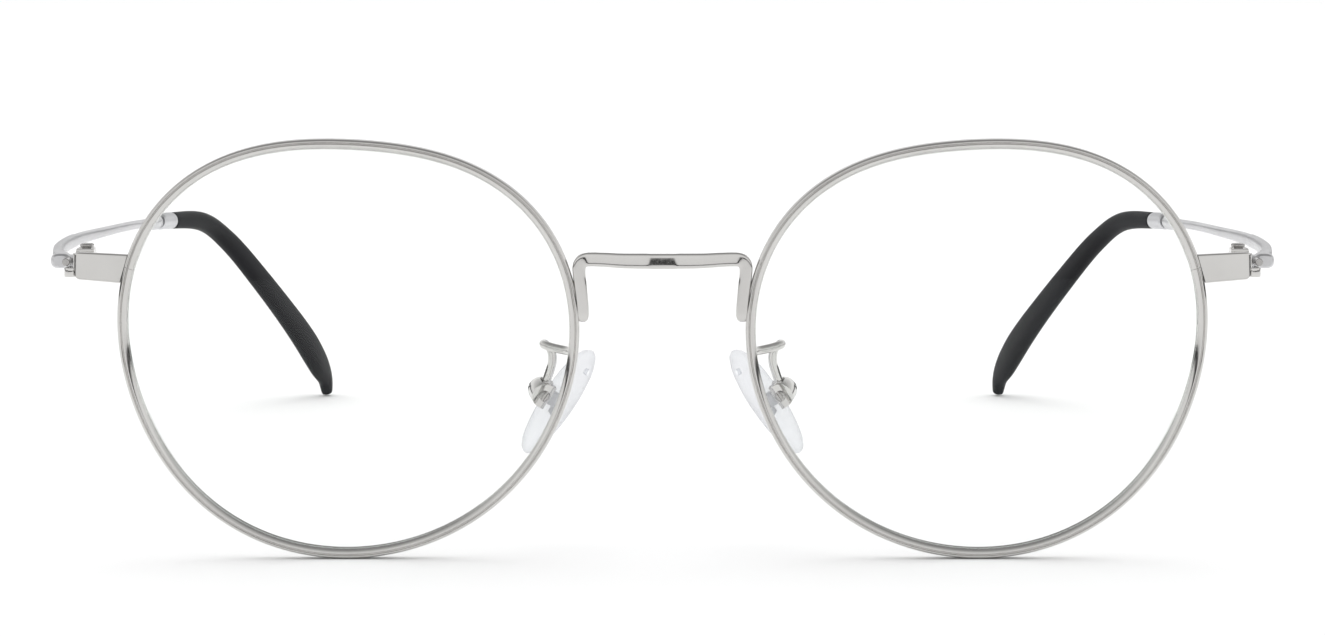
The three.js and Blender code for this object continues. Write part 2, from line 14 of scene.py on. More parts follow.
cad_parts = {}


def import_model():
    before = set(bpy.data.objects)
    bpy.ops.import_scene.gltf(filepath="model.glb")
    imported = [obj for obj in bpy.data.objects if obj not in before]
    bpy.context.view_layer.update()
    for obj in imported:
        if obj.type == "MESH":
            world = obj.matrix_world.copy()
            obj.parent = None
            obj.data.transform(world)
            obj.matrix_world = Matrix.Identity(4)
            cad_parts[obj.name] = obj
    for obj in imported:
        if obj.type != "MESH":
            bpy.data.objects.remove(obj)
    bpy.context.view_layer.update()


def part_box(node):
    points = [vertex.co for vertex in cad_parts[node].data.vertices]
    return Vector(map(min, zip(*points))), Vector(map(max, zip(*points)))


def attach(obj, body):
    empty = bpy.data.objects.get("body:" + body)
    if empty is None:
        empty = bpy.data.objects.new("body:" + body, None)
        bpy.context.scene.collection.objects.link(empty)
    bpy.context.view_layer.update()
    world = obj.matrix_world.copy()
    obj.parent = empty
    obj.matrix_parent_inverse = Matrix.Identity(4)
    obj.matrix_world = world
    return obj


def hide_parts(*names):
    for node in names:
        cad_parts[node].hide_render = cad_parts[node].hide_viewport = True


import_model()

# ---- dimensions, in millimetres, with tilts and turns in radians ---------------------------

EYE_X, EYE_Z = 34.9, 23.5
RIM_RADIUS = 24.68
# How the rim's outline departs from a circle: (waves round it, cosine part, sine part).
RIM_WAVES = [(1, 0, 0.38), (2, 1.04, -0.14), (3, 0.19, 0.69), (4, -0.26, 0)]
RIM_WIDTH, RIM_DEPTH = 1.15, 1.75
SPLIT_Z, SPLIT_GAP = 32.5, 0.05
GROOVE_INWARD, GROOVE_Y = 0.7, (0.86, 0.94)

LENS_CURVE_RADIUS = 150
LENS_THICKNESS = 1.8
LENS_INWARD, LENS_BEVEL_INWARD = 1.2, 0.8
LENS_EDGE_RADIUS, LENS_EDGE_Y = 24, 0.1

BRIDGE_DEPTH = 1.5
BRIDGE_Y = 0.95
BRIDGE_Z = 33.2
BRIDGE_SAG = 0.17
BAR_HEIGHT = 1.7
BAR_TILT = -0.14
BAR_MIDDLE_TILT = -0.07
LEG_WIDTH = 1.4
LEG_TOP_WIDTH = 1.55
# (x, z) up the middle of a leg, then (inward, drop) from the bar's outer corner.
LEG_LINE = [(8.83, 26.3), (8.83, 27.6), (8.93, 29), (9.06, 30.4), (9.18, 31.4)]
CORNER_X = 9.2
CORNER_LINE = [(0, 0.75), (0.2, 0.3), (0.6, 0.03), (1.3, -0.03), (3, 0.03),
               (CORNER_X / 2, BRIDGE_SAG * 0.75)]

PLATE_THICKNESS = 1.3
PLATE_OUTER_X = 65.15
PLATE_INNER_Z = (30.7, 33.8)
PLATE_OUTER_Z = (31.16, 34.1)
PLATE_LEAN = 0.4
PLATE_CURL, CURL_FROM = 0.75, 0.86
PLATE_CORNER = 0.42
BLOCK_FRONT_Y = PLATE_THICKNESS + 0.04
LUG_Z = (31.3, 32.3)

CLOSING_X, CLOSING_BACK_Y = (60.2, 62.4), 3.5
LOWER_BLOCK_Z, UPPER_BLOCK_Z = (31.1, 32.35), (32.65, 33.35)

HINGE_X, HINGE_Y = 64.2, 5.0
KNUCKLE_RADIUS, KNUCKLE_FRONT_Y = 1.0, 3.4
HINGE_BOTTOM, MIDDLE_FROM, MIDDLE_TO, HINGE_TOP = 31.3, 32.17, 33.33, 34.3
FOOT_BACK_Y, FOOT_TOP = 2.5, 33.8
RUNNING_GAP = 0.06
SCREW_RADIUS = 0.45

CLAW_LINE = [(67.0, 3.66, 32.76), (67.08, 5.2, 32.76), (67.45, 7.0, 32.76), (68.0, 8.5, 32.75)]
CLAW_WIDTH = 2.25
HINGE_ARM_X, HINGE_ARM_Y = 66.6, (4.3, 5.7)
PIN_X, PIN_Y, PIN_Z = 66.15, 2.1, 32.8
PIN_RADIUS, PIN_LENGTH = 0.43, 3.3

TEMPLE_LINE = [
    (68.0, 8.5, 32.75), (70.4, 24, 32.1), (72.0, 45, 31.2), (71.4, 62, 30.55), (69.3, 78, 30.1),
    (66.4, 88, 29.75), (62.9, 97.5, 28.7), (60.4, 104.2, 25.5), (56.8, 114, 18.8),
    (52.6, 125.3, 10.1), (50.8, 130.2, 5.7), (49.8, 132.9, 2.7), (49.5, 133.6, 0.06),
]
# Distances along the temple line.
BAR_END = 36.5
COLLAR = (74.6, 77.2)
FERRULE = (77.5, 81.2)
TIP_START = 81.25
CORE_END = 128
# (start, end) sizes of the thick front bar, and the core inside the tip.
BAR_WIDTHS, BAR_HEIGHTS = (1.3, 1.15), (1.7, 1.6)
CORE_DIAMETER = 1.1

PAD_CENTRE = Vector((11.75, 8.6, 16.3))
PAD_UP, PAD_TURN = Vector((-0.56, -0.05, 0.83)), 0.35
PAD_LENGTH, PAD_WIDTH, PAD_THICKNESS = 14.0, 7.2, 2.3
PAD_OFFSET = 2.25
EYE_MARK_X, EYE_MARK_RADIUS = 4.6, 0.38
SLIT_MARK_X, SLIT_MARK_SIZE = -4.4, (1.5, 0.32)
MARK_FLOOR, MARK_HEIGHT = 2.8, 1.2
STEM_HALF, STEM_PLATE = 0.8, (1.7, 0.8)
BOX_HALF, BOX_WIDTH, BOX_LIP, PAD_SLOT = 1.45, 2.6, 0.75, 1.1
PAD_ARM_DIAMETER = 1.0
PAD_ARM_LINE = [(10.05, RIM_DEPTH + 0.04, 22.75), (10.6, 3.0, 22.8), (12.1, 4.1, 23.0), (13.2, 5.2, 23.2),
                (13.25, 6.4, 23.15), (12.6, 7.1, 22.5), (12.4, 7.35, 21.2)]

MM = 0.001
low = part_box("left_end_piece")[0]
SHIFT = Vector((0, low.y / MM, low.z / MM - PLATE_INNER_Z[0]))


def place(point):
    """A point of the drawing, in metres in the frame."""
    return (Vector(point) + SHIFT) * MM


# ---- materials -----------------------------------------------------------------------------

NOISE_RANGE = (0.3, 0.7)  # most of a noise texture lies between these
GRAIN_DEPTH = 0.00002  # metres
NO_STRETCH = (1, 1, 1)


def node_material(name):
    material = bpy.data.materials.new(name)
    material.use_nodes = True
    tree = material.node_tree
    shader = tree.nodes["Principled BSDF"]
    coordinates = tree.nodes.new("ShaderNodeTexCoord")
    return material, tree, shader, coordinates


def noise(tree, coordinates, scale, detail, stretch=NO_STRETCH):
    """Noise in object space, stretched along the axes; scale is in lumps per metre."""
    mapping = tree.nodes.new("ShaderNodeMapping")
    mapping.inputs["Scale"].default_value = stretch
    texture = tree.nodes.new("ShaderNodeTexNoise")
    texture.inputs["Scale"].default_value = scale
    texture.inputs["Detail"].default_value = detail
    tree.links.new(coordinates.outputs["Object"], mapping.inputs["Vector"])
    tree.links.new(mapping.outputs["Vector"], texture.inputs["Vector"])
    return texture.outputs["Fac"]


def spread(tree, source, values):
    """Maps a noise onto a range of values."""
    node = tree.nodes.new("ShaderNodeMapRange")
    node.inputs["From Min"].default_value = NOISE_RANGE[0]
    node.inputs["From Max"].default_value = NOISE_RANGE[1]
    node.inputs["To Min"].default_value = values[0]
    node.inputs["To Max"].default_value = values[1]
    tree.links.new(source, node.inputs["Value"])
    return node.outputs["Result"]


def tint(tree, source, first, second):
    """Mixes two colours by a noise."""
    node = tree.nodes.new("ShaderNodeMix")
    node.data_type = "RGBA"
    node.inputs["A"].default_value = (*first, 1)
    node.inputs["B"].default_value = (*second, 1)
    tree.links.new(spread(tree, source, (0, 1)), node.inputs["Factor"])
    return node.outputs["Result"]


def bump(tree, source, strength):
    node = tree.nodes.new("ShaderNodeBump")
    node.inputs["Strength"].default_value = strength
    node.inputs["Distance"].default_value = GRAIN_DEPTH
    tree.links.new(source, node.inputs["Height"])
    return node.outputs["Normal"]


def metal(name, first, second, roughness, grain, stretch=NO_STRETCH, relief=0.05):
    """A plated metal whose colour varies in patches and whose roughness and grain are fine."""
    material, tree, shader, coordinates = node_material(name)
    shader.inputs["Metallic"].default_value = 1
    patches = noise(tree, coordinates, 160, 2)
    fine = noise(tree, coordinates, grain, 4, stretch)
    tree.links.new(tint(tree, patches, first, second), shader.inputs["Base Color"])
    tree.links.new(spread(tree, fine, roughness), shader.inputs["Roughness"])
    tree.links.new(bump(tree, fine, relief), shader.inputs["Normal"])
    return material


def plastic(name, first, second, roughness):
    """Moulded plastic with a fine satin grain and slightly polished patches."""
    material, tree, shader, coordinates = node_material(name)
    patches = noise(tree, coordinates, 90, 3)
    grain = noise(tree, coordinates, 9000, 3)
    tree.links.new(tint(tree, patches, first, second), shader.inputs["Base Color"])
    shader.inputs["Specular IOR Level"].default_value = 0.08
    tree.links.new(spread(tree, patches, roughness), shader.inputs["Roughness"])
    tree.links.new(bump(tree, grain, 0.12), shader.inputs["Normal"])
    return material


def clear(name, colour, metallic, film, see_through, roughness):
    """A clear material that lets straight light through, tinted by film, and shines at its edges.

    see_through is the share of light let through face on, and at a glancing angle.
    """
    material, tree, shader, coordinates = node_material(name)
    shader.inputs["Base Color"].default_value = (*colour, 1)
    shader.inputs["Metallic"].default_value = metallic
    shader.inputs["IOR"].default_value = 1.45
    cloud = noise(tree, coordinates, 700, 3)
    tree.links.new(spread(tree, cloud, roughness), shader.inputs["Roughness"])
    window = tree.nodes.new("ShaderNodeBsdfTransparent")
    window.inputs["Color"].default_value = (*film, 1)
    edge = tree.nodes.new("ShaderNodeLayerWeight")
    edge.inputs["Blend"].default_value = 0.35
    share = tree.nodes.new("ShaderNodeMapRange")
    share.inputs["To Min"].default_value = see_through[0]
    share.inputs["To Max"].default_value = see_through[1]
    tree.links.new(edge.outputs["Facing"], share.inputs["Value"])
    mix = tree.nodes.new("ShaderNodeMixShader")
    tree.links.new(share.outputs["Result"], mix.inputs["Fac"])
    tree.links.new(shader.outputs["BSDF"], mix.inputs[1])
    tree.links.new(window.outputs["BSDF"], mix.inputs[2])
    tree.links.new(mix.outputs["Shader"], tree.nodes["Material Output"].inputs["Surface"])
    return material


POLISHED = metal("polished_silver", (0.61, 0.6, 0.585), (0.65, 0.64, 0.625), (0.05, 0.12), 2500)
SATIN = metal("satin_silver", (0.63, 0.63, 0.64), (0.68, 0.68, 0.69), (0.28, 0.4), 5000, (1, 0.04, 1), 0.1)
FROSTED = metal("frosted_silver", (0.64, 0.64, 0.655), (0.7, 0.7, 0.715), (0.4, 0.52), 9000, relief=0.2)
STEEL = metal("screw_steel", (0.42, 0.41, 0.4), (0.5, 0.49, 0.48), (0.12, 0.25), 4000)
CHARCOAL = plastic("charcoal_plastic", (0.006, 0.006, 0.0075), (0.009, 0.009, 0.0115), (0.4, 0.5))
LENS = clear("clear_lens", (0.9, 0.95, 0.93), 1, (0.995, 0.998, 0.996), (0.995, 0.72), (0.01, 0.03))
SILICONE = clear("clear_silicone", (0.55, 0.555, 0.58), 0, (0.965, 0.97, 0.98), (0.96, 0.45), (0.12, 0.25))


# ---- making meshes -------------------------------------------------------------------------

SMOOTH_ANGLE = 40


def loft(rings):
    """A closed skin through rings of equally many points."""
    shape = bmesh.new()
    loops = [[shape.verts.new(point) for point in ring] for ring in rings]
    count = len(loops[0])
    for first, second in zip(loops, loops[1:]):
        for i in range(count):
            j = (i + 1) % count
            shape.faces.new((first[i], first[j], second[j], second[i]))
    shape.faces.new(loops[0])
    shape.faces.new(loops[-1])
    bmesh.ops.recalc_face_normals(shape, faces=shape.faces)
    return shape


def lathe(outline, sides=40):
    """Turns an outline of (radius, z) points, which starts and ends on the axis, about Z."""
    shape = bmesh.new()
    turns = [2 * math.pi * i / sides for i in range(sides)]
    rows = []
    for radius, z in outline:
        if radius == 0:
            rows.append([shape.verts.new((0, 0, z))])
            continue
        rows.append([shape.verts.new((radius * math.cos(a), radius * math.sin(a), z)) for a in turns])
    for first, second in zip(rows, rows[1:]):
        for i in range(sides):
            j = (i + 1) % sides
            corners = [first[i % len(first)], first[j % len(first)],
                       second[j % len(second)], second[i % len(second)]]
            shape.faces.new(list(dict.fromkeys(corners)))
    bmesh.ops.recalc_face_normals(shape, faces=shape.faces)
    return shape


def box(xs, ys, zs):
    """A block between two limits on each axis."""
    return loft([[(x, y, z) for x, y in ((xs[0], ys[0]), (xs[1], ys[0]), (xs[1], ys[1]), (xs[0], ys[1]))]
                 for z in zs])


def scratch_object(shape):
    """A bmesh as an object in millimetres, which is only used while shapes are worked out."""
    mesh = bpy.data.meshes.new("scratch")
    shape.to_mesh(mesh)
    shape.free()
    made = bpy.data.objects.new("scratch", mesh)
    bpy.context.scene.collection.objects.link(made)
    return made


def evaluated(made):
    """The object's mesh after its modifiers, as a bmesh. The object is removed."""
    graph = bpy.context.evaluated_depsgraph_get()
    mesh = bpy.data.meshes.new_from_object(made.evaluated_get(graph))
    shape = bmesh.new()
    shape.from_mesh(mesh)
    bpy.data.objects.remove(made)
    bpy.data.meshes.remove(mesh)
    return shape


def combined(first, second, operation):
    """The union or difference of two shapes."""
    body = scratch_object(first)
    tool = scratch_object(second)
    modifier = body.modifiers.new("boolean", "BOOLEAN")
    modifier.operation = operation
    modifier.solver = "EXACT"
    modifier.object = tool
    result = evaluated(body)
    bpy.data.objects.remove(tool)
    return result


def rounded(shape, width, segments=3, angle=30):
    """The shape with its sharp edges rounded."""
    body = scratch_object(shape)
    modifier = body.modifiers.new("bevel", "BEVEL")
    modifier.width = width
    modifier.segments = segments
    modifier.limit_method = "ANGLE"
    modifier.angle_limit = math.radians(angle)
    return evaluated(body)


def moved(shape, matrix):
    bmesh.ops.transform(shape, matrix=matrix, verts=shape.verts)
    return shape


def piece(name, shape, mirror, material, body, node=None, smooth=SMOOTH_ANGLE):
    """Makes a finished piece in metres from a shape in millimetres. The shape isn't used up."""
    mesh = bpy.data.meshes.new(name)
    shape.to_mesh(mesh)
    for vertex in mesh.vertices:
        point = Vector((-vertex.co.x if mirror else vertex.co.x, vertex.co.y, vertex.co.z))
        vertex.co = place(point)
    if mirror:
        mesh.flip_normals()
    mesh.polygons.foreach_set("use_smooth", [True] * len(mesh.polygons))
    mesh.set_sharp_from_angle(angle=math.radians(smooth))
    mesh.materials.append(material)
    made = bpy.data.objects.new(name, mesh)
    bpy.context.scene.collection.objects.link(made)
    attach(made, body)
    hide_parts(node or name)
    return made


def pair(name, shape, material, body="front", smooth=SMOOTH_ANGLE):
    """The left piece and its mirror image. {} in body stands for the side."""
    for side in ("left", "right"):
        piece(f"{side}_{name}_visual", shape, side == "right", material, body.format(side),
              f"{side}_{name}", smooth)
    shape.free()


# ---- curves --------------------------------------------------------------------------------

def smooth_line(points, per_span=40):
    """A centripetal Catmull-Rom curve through the points, as many short steps."""
    points = [Vector(p) for p in points]
    points = [2 * points[0] - points[1], *points, 2 * points[-1] - points[-2]]
    line = []
    for p0, p1, p2, p3 in zip(points, points[1:], points[2:], points[3:]):
        t0, t1, t2 = (math.sqrt((b - a).length) for a, b in ((p0, p1), (p1, p2), (p2, p3)))
        start = t1 * ((p1 - p0) / t0 - (p2 - p0) / (t0 + t1) + (p2 - p1) / t1)
        end = t1 * ((p2 - p1) / t1 - (p3 - p1) / (t1 + t2) + (p3 - p2) / t2)
        for i in range(per_span):
            t = i / per_span
            line.append(p1 + start * t + (3 * (p2 - p1) - 2 * start - end) * t ** 2
                        + (2 * (p1 - p2) + start + end) * t ** 3)
    line.append(points[-2])
    return line


class Route:
    """A line that is read by distance from its start, in millimetres."""

    def __init__(self, points):
        self.line = smooth_line(points)
        self.distances = [0.0]
        for a, b in zip(self.line, self.line[1:]):
            self.distances.append(self.distances[-1] + (b - a).length)
        self.length = self.distances[-1]

    def at(self, distance):
        """The point and the direction of travel at a distance."""
        distance = min(max(distance, 0), self.length)
        i = 1
        while i < len(self.distances) - 1 and self.distances[i] < distance:
            i += 1
        a, b = self.line[i - 1], self.line[i]
        share = (distance - self.distances[i - 1]) / (self.distances[i] - self.distances[i - 1])
        before = self.line[max(i - 2, 0)]
        after = self.line[min(i + 1, len(self.line) - 1)]
        along = (b - before).lerp(after - a, share)
        return a.lerp(b, share), along.normalized()


def oval(centre, side, up, width, height, sides, flatness=1.0):
    """A ring: an ellipse at flatness 1, and nearer to a rectangle below it."""
    ring = []
    for k in range(sides):
        a = 2 * math.pi * (k + 0.5) / sides
        c, s = math.cos(a), math.sin(a)
        c = math.copysign(abs(c) ** flatness, c)
        s = math.copysign(abs(s) ** flatness, s)
        ring.append(centre + side * (c * width / 2) + up * (s * height / 2))
    return ring


def profile(pairs, distance):
    """A value that eases between (distance, value) pairs."""
    if distance <= pairs[0][0]:
        return pairs[0][1]
    for (d0, v0), (d1, v1) in zip(pairs, pairs[1:]):
        if distance <= d1:
            t = (distance - d0) / (d1 - d0)
            return v0 + (v1 - v0) * t * t * (3 - 2 * t)
    return pairs[-1][1]


def softened(pairs, distance, reach):
    """A value that runs straight between its pairs, averaged over a distance either way."""
    def straight(d):
        for (d0, v0), (d1, v1) in zip(pairs, pairs[1:]):
            if d <= d1:
                return v0 + (v1 - v0) * max(0, d - d0) / (d1 - d0)
        return pairs[-1][1]

    samples = 9
    return sum(straight(distance + reach * (2 * i / (samples - 1) - 1)) for i in range(samples)) / samples


def spaced(start, end, step):
    """Evenly spaced values from start to end, about a step apart."""
    count = max(1, round((end - start) / step))
    return [start + (end - start) * i / count for i in range(count + 1)]


# ---- rims and lenses -----------------------------------------------------------------------

def rim_radius(angle):
    """The rim's outer radius; the angle starts at the nose side and turns upwards."""
    return RIM_RADIUS + sum(c * math.cos(n * angle) + s * math.sin(n * angle) for n, c, s in RIM_WAVES)


def rim_point(angle, inward, y):
    radius = rim_radius(angle) - inward
    return Vector((EYE_X - radius * math.cos(angle), y, EYE_Z + radius * math.sin(angle)))


def rim_angle(z, first, last):
    """The angle between two others at which the rim's outer edge is at height z."""
    rising = rim_point(last, 0, 0).z > rim_point(first, 0, 0).z
    for _ in range(40):
        middle = (first + last) / 2
        if (rim_point(middle, 0, 0).z < z) == rising:
            first = middle
        else:
            last = middle
    return (first + last) / 2


# (inward, depth) corners of the rim's section: the rounded front with a fine line round it, the
# inside with a V groove for the lens, and the rounded back.
RIM_SECTION = [
    (0, 0.66), (0.01, 0.42), (0.05, 0.24), (0.12, 0.11), (0.21, 0.03), (0.3, 0), (0.33, 0.01),
    (0.43, 0.17), (0.47, 0.17), (0.57, 0.01), (0.6, 0), (0.7, 0.02), (0.9, 0.12), (1.06, 0.24),
    (1.13, 0.34), (RIM_WIDTH, 0.42), (1.12, 0.48), (0.9, 0.68), *((GROOVE_INWARD, y) for y in GROOVE_Y),
    (0.9, 1.12), (1.12, 1.32), (RIM_WIDTH, 1.4), (1.1, 1.54), (0.95, 1.66), (0.74, 1.73),
    (0.5, RIM_DEPTH), (0.26, 1.7), (0.1, 1.56), (0.02, 1.36), (0, 1.14),
]


def outer_side_angle(z):
    """The angle at which the rim's outer edge, on the side of the end piece, is at height z."""
    return rim_angle(z, math.pi * 0.75, math.pi)


def rim_shape():
    split = outer_side_angle(SPLIT_Z)
    half_gap = SPLIT_GAP / 2 / RIM_RADIUS
    rings = []
    for turn in spaced(split + half_gap, split - half_gap + 2 * math.pi, math.radians(1)):
        rings.append([rim_point(turn, inward, depth) for inward, depth in RIM_SECTION])
    return loft(rings)


def lens_shape():
    """Curved front and back faces, with a V edge that sits in the rim's groove."""
    turns = spaced(0, 2 * math.pi, math.radians(2))[:-1]

    def face(scale, thickness):
        ring = []
        for turn in turns:
            point = rim_point(turn, LENS_INWARD, 0)
            x, z = (point.x - EYE_X) * scale, (point.z - EYE_Z) * scale
            bulge = (LENS_EDGE_RADIUS ** 2 - x * x - z * z) / (2 * LENS_CURVE_RADIUS)
            ring.append(Vector((EYE_X + x, LENS_EDGE_Y - bulge + thickness, EYE_Z + z)))
        return ring

    scales = [0.05, 0.15, 0.3, 0.45, 0.6, 0.75, 0.88, 0.97, 1]
    front = [face(scale, 0) for scale in scales]
    back = [face(scale, LENS_THICKNESS) for scale in reversed(scales)]
    bevel = [[rim_point(turn, inward, y) for turn in turns] for inward, y in
             ((LENS_INWARD, 0.5), *((LENS_BEVEL_INWARD, y) for y in GROOVE_Y), (LENS_INWARD, 1.3))]
    return loft([*front, *bevel, *back])


pair("rim", rim_shape(), POLISHED)
pair("lens", lens_shape(), LENS)


# ---- bridge --------------------------------------------------------------------------------

def bridge_shape():
    """A leg beside each rim and a slightly sagging bar, as one bent strip."""
    half = [Vector((x, BRIDGE_Y, z)) for x, z in LEG_LINE]
    half += [Vector((CORNER_X - inward, BRIDGE_Y, BRIDGE_Z - drop)) for inward, drop in CORNER_LINE]
    other = [Vector((-p.x, p.y, p.z)) for p in reversed(half)]
    route = Route([*half, Vector((0, BRIDGE_Y, BRIDGE_Z - BRIDGE_SAG)), *other])
    rings = []
    for distance in spaced(0, route.length, 0.16):
        centre, along = route.at(distance)
        across = along.cross(Vector((0, 1, 0))).normalized()
        from_end = min(distance, route.length - distance)
        end = profile([(0, 0.35), (0.15, 0.65), (0.4, 0.9), (0.8, 1)], from_end)
        height = profile([(5, LEG_WIDTH), (7, LEG_TOP_WIDTH), (14, BAR_HEIGHT)], from_end)
        tilt = profile([(1.2, BAR_MIDDLE_TILT), (1.9, BAR_TILT), (8, BAR_TILT), (9, 0)], abs(centre.x))
        turn = Matrix.Rotation(tilt, 3, "X")
        depth = turn @ Vector((0, 1, 0))
        rings.append(oval(centre, turn @ across, depth, height * end, BRIDGE_DEPTH * end, 48, 0.32))
    return loft(rings)


piece("bridge_visual", bridge_shape(), False, POLISHED, "front", "bridge")


# ---- end piece, closing blocks and hinge ---------------------------------------------------

def end_piece_shape():
    """The flat plate, whose outer edge curves back, with the lug behind it."""
    section = [(0, 0.1), (0.01, 0.04), (0.03, 0), (0.05, 0), (0.93, 0), (0.95, 0), (0.985, 0.05), (1, 0.14),
               (1, 1.2), (0.96, PLATE_THICKNESS), (0.04, PLATE_THICKNESS), (0, 1.2)]
    rings = []
    for share in [*spaced(0, CURL_FROM, 0.1), 0.9, 0.94, 0.97, 0.99, 1]:
        ring = []
        corner = profile([(CURL_FROM, 0), (1, PLATE_CORNER)], share)
        curl = PLATE_CURL * max(0, (share - CURL_FROM) / (1 - CURL_FROM)) ** 2.5
        bottom = PLATE_INNER_Z[0] + (PLATE_OUTER_Z[0] - PLATE_INNER_Z[0]) * share + corner * 0.9
        top = PLATE_INNER_Z[1] + (PLATE_OUTER_Z[1] - PLATE_INNER_Z[1]) * share - corner * 0.45
        for up, y in section:
            z = bottom + (top - bottom) * up
            inner = rim_point(outer_side_angle(z), -0.03, 0).x
            x = inner + (PLATE_OUTER_X - inner) * share
            back = (PLATE_LEAN * up + curl) * (PLATE_THICKNESS - y) / PLATE_THICKNESS
            ring.append(Vector((x, y + back, z)))
        rings.append(ring)
    plate = loft(rings)
    lug_outline = [(64.6, 0.75), (65.7, 0.62), (66.0, 0.75), (66.15, 1.05), (66.15, 3.25), (66.0, 3.4),
                   (65.28, 3.4), (65.28, 1.29), (64.6, 1.29)]
    lug = rounded(loft([[(x, y, z) for x, y in lug_outline] for z in LUG_Z]), 0.08, 2)
    return combined(plate, lug, "UNION")


def hinge_block_shape():
    """A foot with two knuckles, made of one outline that steps in between them, with a domed top."""
    left, right = HINGE_X - KNUCKLE_RADIUS, HINGE_X + KNUCKLE_RADIUS
    arc = [math.pi * i / 16 for i in range(17)]
    tab = [(left, BLOCK_FRONT_Y), (right, BLOCK_FRONT_Y), (right, FOOT_BACK_Y)]
    tab += [(HINGE_X + KNUCKLE_RADIUS * math.cos(a), HINGE_Y + KNUCKLE_RADIUS * math.sin(a)) for a in arc]
    tab += [(left, FOOT_BACK_Y)]
    hair = 0.0001  # moves every second corner of a flattened outline
    foot = [(x, min(y, FOOT_BACK_Y) - hair * (k % 2)) for k, (x, y) in enumerate(tab)]
    barrel = [(x, max(y, KNUCKLE_FRONT_Y) + hair * (k % 2)) for k, (x, y) in enumerate(tab)]

    def crown(scale):
        return [(HINGE_X + (x - HINGE_X) * scale, HINGE_Y + (y - HINGE_Y) * scale) for x, y in barrel]

    levels = [(tab, HINGE_BOTTOM), (tab, MIDDLE_FROM - RUNNING_GAP), (foot, MIDDLE_FROM - RUNNING_GAP),
              (foot, MIDDLE_TO + RUNNING_GAP), (tab, MIDDLE_TO + RUNNING_GAP), (tab, FOOT_TOP),
              (barrel, FOOT_TOP), (barrel, HINGE_TOP - 0.35), (crown(0.93), HINGE_TOP - 0.12),
              (crown(0.74), HINGE_TOP)]
    return rounded(loft([[(x, y, z) for x, y in outline] for outline, z in levels]), 0.1, 3)


def screw_shape(radius, length, head_radius, head_height):
    """A screw standing on its tip, with a rounded, slotted head."""
    top = length + head_height
    body = lathe([(0, 0), (radius * 0.8, 0), (radius, 0.12), (radius, length), (head_radius * 0.97, length),
                  (head_radius, length + 0.04), (head_radius, length + head_height * 0.5),
                  (head_radius * 0.93, length + head_height * 0.75), (head_radius * 0.78, top - 0.03),
                  (head_radius * 0.5, top), (0, top)])
    slot = box((-2, 2), (-head_radius * 0.17, head_radius * 0.17), (top - head_height * 0.5, top + 1))
    return combined(body, slot, "DIFFERENCE")


def closing_block(heights):
    return rounded(box(CLOSING_X, (BLOCK_FRONT_Y, CLOSING_BACK_Y), heights), 0.12)


pair("end_piece", end_piece_shape(), POLISHED)
pair("closing_block_lower", closing_block(LOWER_BLOCK_Z), POLISHED)
pair("closing_block_upper", closing_block(UPPER_BLOCK_Z), POLISHED)
closing_screw_end = Matrix.Translation((sum(CLOSING_X) / 2, 2.4, UPPER_BLOCK_Z[1] - 0.04))
pair("closing_screw", moved(screw_shape(SCREW_RADIUS, 2.3, 0.75, 0.35),
                            closing_screw_end @ Matrix.Rotation(math.pi, 4, "X")), STEEL)
pair("hinge_block", hinge_block_shape(), POLISHED)
pair("hinge_screw", moved(screw_shape(SCREW_RADIUS, HINGE_TOP - HINGE_BOTTOM + 0.14, 0.78, 0.32),
                          Matrix.Translation((HINGE_X, HINGE_Y, HINGE_BOTTOM - 0.1))), STEEL)


# ---- temples -------------------------------------------------------------------------------

temple = Route(TEMPLE_LINE)


def temple_ring(distance, width, height, sides, flatness):
    """A ring across the temple line; width is its thickness, seen from above."""
    centre, along = temple.at(distance)
    side = (Vector((1, 0, 0)) - along * along.x).normalized()
    return oval(centre, side, side.cross(along), width, height, sides, flatness)


def temple_sweep(distances, sides, size, flatness=1.0):
    """A skin along the temple line; size gives the width and height at a distance."""
    return loft([temple_ring(distance, *size(distance), sides, flatness) for distance in distances])


def temple_hinge_shape():
    """The claw beside the end piece, which runs into the thick bar, with the middle knuckle."""
    claw = Route(CLAW_LINE)
    sides, flatness = 32, 0.7
    rings = []
    for distance in [0, 0.04, 0.12, 0.25, 0.45, 0.7, *spaced(1.0, claw.length, 0.35)[:-1]]:
        centre, along = claw.at(distance)
        side = along.cross(Vector((0, 0, 1))).normalized()
        nose = profile([(0, 0.72), (0.25, 0.93), (0.7, 1)], distance)
        width = profile([(1, CLAW_WIDTH), (4.8, BAR_WIDTHS[0])], distance) * nose
        height = BAR_HEIGHTS[0] * nose
        rings.append(oval(centre, side, side.cross(along), width, height, sides, flatness))
    for distance in spaced(0, BAR_END, 0.8):
        end = profile([(BAR_END - 0.25, 1), (BAR_END, 0.8)], distance)
        width = profile([(0, BAR_WIDTHS[0]), (BAR_END, BAR_WIDTHS[1])], distance)
        height = profile([(0, BAR_HEIGHTS[0]), (BAR_END, BAR_HEIGHTS[1])], distance)
        rings.append(temple_ring(distance, width * end, height * end, sides, flatness))
    arm = [(HINGE_ARM_X, HINGE_ARM_Y[1]), (HINGE_X, HINGE_Y + KNUCKLE_RADIUS)]
    arm += [(HINGE_X - KNUCKLE_RADIUS * math.sin(a), HINGE_Y + KNUCKLE_RADIUS * math.cos(a))
            for a in spaced(0.15, math.pi - 0.15, 0.2)]
    arm += [(HINGE_X, HINGE_Y - KNUCKLE_RADIUS), (HINGE_ARM_X, HINGE_ARM_Y[0])]
    knuckle = rounded(loft([[(x, y, z) for x, y in arm] for z in (MIDDLE_FROM, MIDDLE_TO)]), 0.06, 2)
    return combined(loft(rings), knuckle, "UNION")


